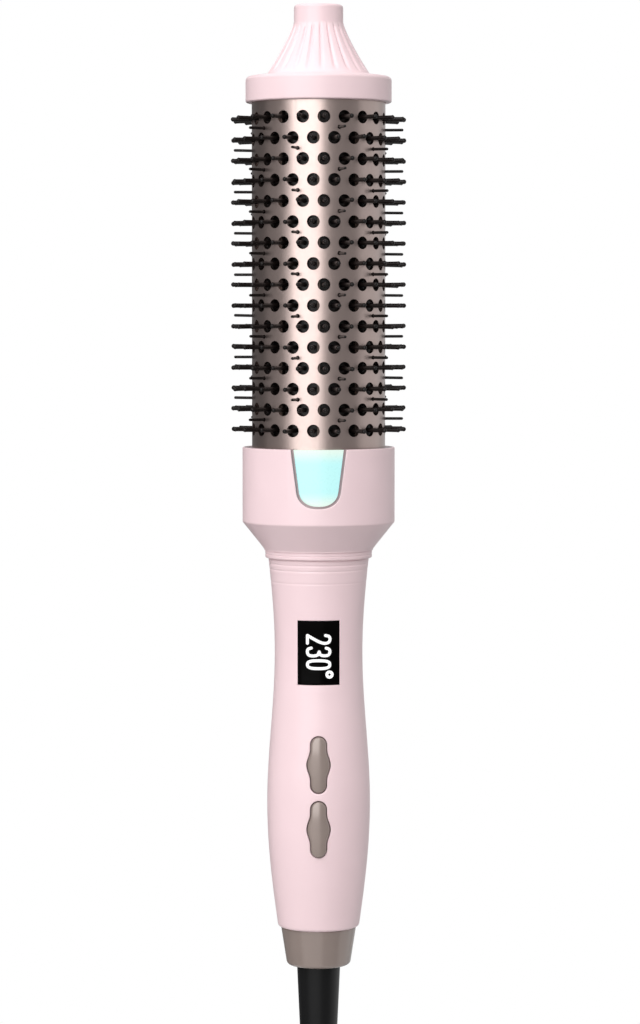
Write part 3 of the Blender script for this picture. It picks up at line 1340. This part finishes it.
def card(name, azimuth, width, brightness):
    """A grey card that stands round the brush and shows only in gloss and metal."""
    corners = np.array([(-1, -1, 0), (1, -1, 0), (1, 1, 0), (-1, 1, 0)]) * [width / 2, CARD_H / 2, 0]
    made = placed(name, mesh_of(name, corners, np.array([[0, 1, 2, 3]])))
    facing(made, azimuth, 0, CARD_DISTANCE)
    look = bpy.data.materials.new(name)
    look.use_nodes = True
    tree = look.node_tree
    glow = add(tree, "ShaderNodeEmission")
    glow.inputs["Color"].default_value = (brightness, brightness, brightness, 1)
    tree.links.new(glow.outputs["Emission"], tree.nodes["Material Output"].inputs["Surface"])
    made.data.materials.append(look)
    for ray in ("camera", "diffuse", "transmission", "volume_scatter", "shadow"):
        setattr(made, f"visible_{ray}", False)


def shown(tree):
    """A mask that is one for rays from the camera, off gloss or through glass."""
    path = add(tree, "ShaderNodeLightPath").outputs
    seen = add(tree, "ShaderNodeMath", {0: path["Is Camera Ray"], 1: path["Is Glossy Ray"]},
               operation="MAXIMUM")
    seen = add(tree, "ShaderNodeMath", {0: seen.outputs["Value"], 1: path["Is Transmission Ray"]},
               operation="MAXIMUM")
    return seen.outputs["Value"]


def surround(scene, above, below):
    """The world: a soft light that fades from above to below.

    To the camera, to gloss and through glass it shows as plain white.
    """
    world = bpy.data.worlds.new("Surround")
    scene.world = world
    world.use_nodes = True
    tree = world.node_tree
    out, soft = found(tree, "ShaderNodeOutputWorld"), found(tree, "ShaderNodeBackground")
    white = add(tree, "ShaderNodeBackground")
    white.inputs["Strength"].default_value = 1.0
    for light in (soft, white):
        light.inputs["Color"].default_value = (1, 1, 1, 1)
    way = add(tree, "ShaderNodeSeparateXYZ", {0: add(tree, "ShaderNodeTexCoord").outputs["Generated"]})
    fade = add(tree, "ShaderNodeMapRange", {0: way.outputs["Z"]}, in_1=-0.5, in_3=below, in_4=above)
    tree.links.new(fade.outputs["Result"], soft.inputs["Strength"])
    mixed = add(tree, "ShaderNodeMixShader", {0: shown(tree), 1: soft.outputs["Background"],
                                              2: white.outputs["Background"]})
    tree.links.new(mixed.outputs["Shader"], out.inputs["Surface"])


def floor(s):
    """A round pale floor whose colour runs out to the white of the surround at its rim."""
    height = corner("plug_blades", 0)[2] - s.floor_gap
    radii = np.concatenate([np.linspace(s.floor_r, 40, 24), [0]])
    disc = revolved(np.stack([radii, np.full(len(radii), height)], -1), 96)
    made = placed("Floor", mesh_of("Floor", *joined([disc])))
    look = bpy.data.materials.new("Pale floor")
    look.use_nodes = True
    tree = look.node_tree
    shader = tree.nodes["Principled BSDF"]
    shader.inputs["Roughness"].default_value = 0.9
    shader.inputs["Base Color"].default_value = (0.74, 0.74, 0.74, 1)
    place = add(tree, "ShaderNodeTexCoord")
    out = add(tree, "ShaderNodeVectorMath", {0: place.outputs["Object"]}, operation="MULTIPLY",
              in_1=(1, 1, 0))
    far = add(tree, "ShaderNodeVectorMath", {0: out.outputs["Vector"]}, operation="LENGTH")
    fade = add(tree, "ShaderNodeMapRange", {"Value": far.outputs["Value"]},
               in_1=0.4 * s.floor_r * MM, in_2=s.floor_r * MM)
    behind = add(tree, "ShaderNodeNewGeometry").outputs["Backfacing"]
    faded = add(tree, "ShaderNodeMath", {0: fade.outputs["Result"], 1: behind}, operation="MAXIMUM")
    masked = add(tree, "ShaderNodeMath", {0: faded.outputs["Value"], 1: shown(tree)},
                 operation="MULTIPLY")
    white = add(tree, "ShaderNodeEmission")
    white.inputs["Color"].default_value = (1, 1, 1, 1)
    mixed = add(tree, "ShaderNodeMixShader", {0: masked.outputs["Value"], 1: shader.outputs["BSDF"],
                                              2: white.outputs["Emission"]})
    tree.links.new(mixed.outputs["Shader"], tree.nodes["Material Output"].inputs["Surface"])
    made.data.materials.append(look)


# Operators


def sizes(context):
    """The brush's sizes in millimetres."""
    return in_mm(context.scene.brush_sizes)


def colours(context):
    """The brush's colours."""
    return in_mm(context.scene.brush_colours)


class BRUSH_OT_stage(bpy.types.Operator):
    """Set up the camera, the lamps, the white surround and the floor"""

    bl_idname = "brush.make_stage"
    bl_label = "Stage"

    def execute(self, context):
        scene, s = context.scene, in_mm(context.scene.brush_stage)
        scene.view_settings.view_transform = "Standard"
        lens = bpy.data.cameras.new("Camera")
        lens.lens, lens.sensor_width = s.lens, 36
        camera = placed("Camera", lens)
        camera.location = Vector((0, -s.camera_distance, s.camera_height)) * MM
        aim = Vector((s.aim_side, 0, s.aim_height)) * MM
        camera.rotation_mode = "QUATERNION"
        camera.rotation_quaternion = (aim - camera.location).to_track_quat("-Z", "Y")
        scene.camera = camera
        lamp("Key lamp", -21, 29, (1320, 1700), s.key_power, in_gloss=True)
        lamp("Left lamp", -92, 30, (900, 1300), s.left_power)
        lamp("Right lamp", 80, 30, (900, 1300), s.right_power)
        lamp("Back lamp", 180, 28, (1300, 1300), s.back_power)
        for name, azimuth, width, brightness in (
            ("Left rear card", -141, 1900, 0.85), ("Left card", -80, 780, 1.9),
            ("Right front card", 43, 1200, 2.1), ("Right side card", 100, 720, 4.8),
            ("Right rear card", 155, 1000, 3.2),
        ):
            card(name, azimuth, width, brightness * s.shade)
        surround(scene, s.light_above, s.light_below)
        floor(s)
        return {"FINISHED"}


class BRUSH_OT_cord_tie(bpy.types.Operator):
    """Make the woven tie that holds the cord's hank"""

    bl_idname = "brush.make_cord_tie"
    bl_label = "Cord tie"

    def execute(self, context):
        c = colours(context)
        piece("cord_tie_band", tie_patches(), "swivel", woven_tie(c), ("cord_tie",),
              crease=50)
        return {"FINISHED"}


class BRUSH_OT_plug(bpy.types.Operator):
    """Make the plug and finish its blades"""

    bl_idname = "brush.make_plug"
    bl_label = "Plug"

    def execute(self, context):
        c = colours(context)
        piece("plug", [lofted(plug_rows(), (0, PLUG_Y))], "swivel",
              own_finish("Cord vinyl", c), ("plug_body",))
        dress(["plug_blades"], own_finish("Drawn nickel", c))
        return {"FINISHED"}


class BRUSH_OT_cord(bpy.types.Operator):
    """Make the cord from the boot through its hank to the plug"""

    bl_idname = "brush.make_cord"
    bl_label = "Cord"

    def execute(self, context):
        s, c = sizes(context), colours(context)
        line = cord_line()
        turn = np.linspace(0, 2 * math.pi, 14, endpoint=False)
        section = np.stack([np.cos(turn), np.sin(turn)], -1) * s.cord_d / 2
        cord = piece("cord_line", [carried(line, section)], "swivel",
                     own_finish("Cord vinyl", c), ("cord", "cord_hank"))
        return {"FINISHED"}


class BRUSH_OT_cool_tip(bpy.types.Operator):
    """Make the fluted cool tip at the top of the barrel"""

    bl_idname = "brush.make_cool_tip"
    bl_label = "Cool tip"

    def execute(self, context):
        s, c = sizes(context), colours(context)
        piece("cool_tip", cool_tip(s), "brush", own_finish("Satin pink", c),
              ("tip_cap",))
        return {"FINISHED"}


class BRUSH_OT_bristles(bpy.types.Operator):
    """Make the ten strips of bristles"""

    bl_idname = "brush.make_bristles"
    bl_label = "Bristles"

    def execute(self, context):
        s, c = sizes(context), colours(context)
        spread = np.random.default_rng(7)
        for k, node in enumerate(STRIPS):
            piece(f"bristles_{k + 1:02d}", bristle_patches(k, s, spread), "brush",
                  own_finish("Black nylon", c), (node,), crease=60)
        return {"FINISHED"}


class BRUSH_OT_barrel(bpy.types.Operator):
    """Give the pierced barrel its metallic coat"""

    bl_idname = "brush.make_barrel"
    bl_label = "Barrel"

    def execute(self, context):
        dress(["barrel"], own_finish("Rose coat", colours(context)))
        return {"FINISHED"}


class BRUSH_OT_collar(bpy.types.Operator):
    """Make the collar that joins the barrel to the handle"""

    bl_idname = "brush.make_collar"
    bl_label = "Collar"

    def execute(self, context):
        s, c = sizes(context), colours(context)
        piece("collar_wall", collar_patches(s), "brush", channelled_pink(c, s),
              ("collar",), fill=True)
        return {"FINISHED"}


class BRUSH_OT_window(bpy.types.Operator):
    """Make the lit window in the collar"""

    bl_idname = "brush.make_window"
    bl_label = "Light window"

    def execute(self, context):
        s, c = sizes(context), colours(context)
        glow = glowing("Window light", c.glow, c.glow_end, s.glow, COLLAR_TOP - s.window_h, COLLAR_TOP)
        piece("light_window_lens", window_patches(s), "brush", glow,
              ("light_window",))
        return {"FINISHED"}


class BRUSH_OT_neck_ring(bpy.types.Operator):
    """Make the ring between the collar and the handle"""

    bl_idname = "brush.make_neck_ring"
    bl_label = "Neck ring"

    def execute(self, context):
        pink = own_finish("Satin pink", colours(context))
        piece("neck_band", [revolved(neck_profile(), 128)], "brush", pink,
              ("neck_ring",))
        return {"FINISHED"}


class BRUSH_OT_handle(bpy.types.Operator):
    """Make the handle's front and rear shells and finish their screws"""

    bl_idname = "brush.make_handle"
    bl_label = "Handle"

    def execute(self, context):
        s, c = sizes(context), colours(context)
        pink = own_finish("Satin pink", c)
        piece("front_shell", front_shell(s), "brush", pink, ("handle_front_shell",),
              fill=True)
        piece("rear_shell", rear_shell(s), "brush", pink, ("handle_rear_shell",),
              fill=True)
        dress(["handle_screws"], own_finish("Drawn nickel", c))
        return {"FINISHED"}


class BRUSH_OT_lens(bpy.types.Operator):
    """Make the display's smoked lens"""

    bl_idname = "brush.make_lens"
    bl_label = "Display lens"

    def execute(self, context):
        s, c = sizes(context), colours(context)
        piece("lens", lens_patches(s), "brush", own_finish("Smoked lens", c),
              ("display_lens",))
        return {"FINISHED"}


class BRUSH_OT_figures(bpy.types.Operator):
    """Make the lit figures on the display"""

    bl_idname = "brush.make_figures"
    bl_label = "Lit figures"

    def execute(self, context):
        s, c = sizes(context), colours(context)
        lit = glowing("Figure light", c.figures, c.figures, 1.0, LENS_LOW, LENS_TOP)
        piece("figures", figure_patches(s), "brush", lit, ("display_figures",),
              fill=True)
        return {"FINISHED"}


class BRUSH_OT_keys(bpy.types.Operator):
    """Make the two keys"""

    bl_idname = "brush.make_keys"
    bl_label = "Keys"

    def execute(self, context):
        s, c = sizes(context), colours(context)
        taupe = own_finish("Taupe lustre", c)
        for node, middle, front in zip(KEYS, KEY_Z, KEY_FRONT):
            piece(f"{node}_cap", key_patches(middle, front, s), node, taupe, (node,))
        return {"FINISHED"}


class BRUSH_OT_end_cap(bpy.types.Operator):
    """Make the end cap at the handle's lower end"""

    bl_idname = "brush.make_end_cap"
    bl_label = "End cap"

    def execute(self, context):
        s, c = sizes(context), colours(context)
        piece("end_cup", [revolved(cap_profile(s), 96)], "brush",
              own_finish("Taupe lustre", c), ("end_cap",))
        return {"FINISHED"}


class BRUSH_OT_boot(bpy.types.Operator):
    """Make the cord's tapered boot"""

    bl_idname = "brush.make_boot"
    bl_label = "Cord boot"

    def execute(self, context):
        s, c = sizes(context), colours(context)
        piece("boot", [revolved(boot_profile(s), 64)], "swivel",
              own_finish("Soft rubber", c), ("cord_boot",))
        return {"FINISHED"}


class BRUSH_OT_inside(bpy.types.Operator):
    """Give the pieces inside the brush their finishes"""

    bl_idname = "brush.make_inside"
    bl_label = "Inner pieces"

    def execute(self, context):
        for look, nodes in inner_finishes():
            dress(nodes, look)
        return {"FINISHED"}


class BRUSH_PT_panel(bpy.types.Panel):
    """Lists the brush's settings and its operators"""

    bl_idname = "BRUSH_PT_panel"
    bl_label = "Round Brush"
    bl_space_type = "VIEW_3D"
    bl_region_type = "UI"
    bl_category = "Round Brush"

    def draw(self, context):
        for operator in OPERATORS:
            self.layout.operator(operator.bl_idname)
        for name in GROUPS:
            group, box = getattr(context.scene, name), self.layout.box()
            for prop in own_props(group):
                box.prop(group, prop.identifier)


OPERATORS = (
    BRUSH_OT_stage, BRUSH_OT_cord_tie, BRUSH_OT_plug, BRUSH_OT_cord, BRUSH_OT_cool_tip,
    BRUSH_OT_bristles, BRUSH_OT_barrel, BRUSH_OT_collar, BRUSH_OT_window, BRUSH_OT_neck_ring,
    BRUSH_OT_handle, BRUSH_OT_lens, BRUSH_OT_figures, BRUSH_OT_keys, BRUSH_OT_end_cap, BRUSH_OT_boot,
    BRUSH_OT_inside,
)
GROUPS = {"brush_sizes": BrushSizes, "brush_colours": BrushColours, "brush_stage": BrushStage}
CLASSES = (*GROUPS.values(), *OPERATORS, BRUSH_PT_panel)


def register():
    """Registers the add-on's classes and its settings on the scene."""
    for cls in CLASSES:
        bpy.utils.register_class(cls)
    for name, group in GROUPS.items():
        setattr(bpy.types.Scene, name, PointerProperty(type=group))


def unregister():
    """Removes the settings and the classes again."""
    for name in GROUPS:
        delattr(bpy.types.Scene, name)
    for cls in reversed(CLASSES):
        bpy.utils.unregister_class(cls)


def main():
    register()
    bpy.ops.brush.make_stage()
    bpy.ops.brush.make_cord_tie()
    bpy.ops.brush.make_plug()
    bpy.ops.brush.make_cord()
    bpy.ops.brush.make_cool_tip()
    bpy.ops.brush.make_bristles()
    bpy.ops.brush.make_barrel()
    bpy.ops.brush.make_collar()
    bpy.ops.brush.make_window()
    bpy.ops.brush.make_neck_ring()
    bpy.ops.brush.make_handle()
    bpy.ops.brush.make_lens()
    bpy.ops.brush.make_figures()
    bpy.ops.brush.make_keys()
    bpy.ops.brush.make_end_cap()
    bpy.ops.brush.make_boot()
    bpy.ops.brush.make_inside()
    bpy.context.view_layer.update()


if __name__ == "__main__":
    main()
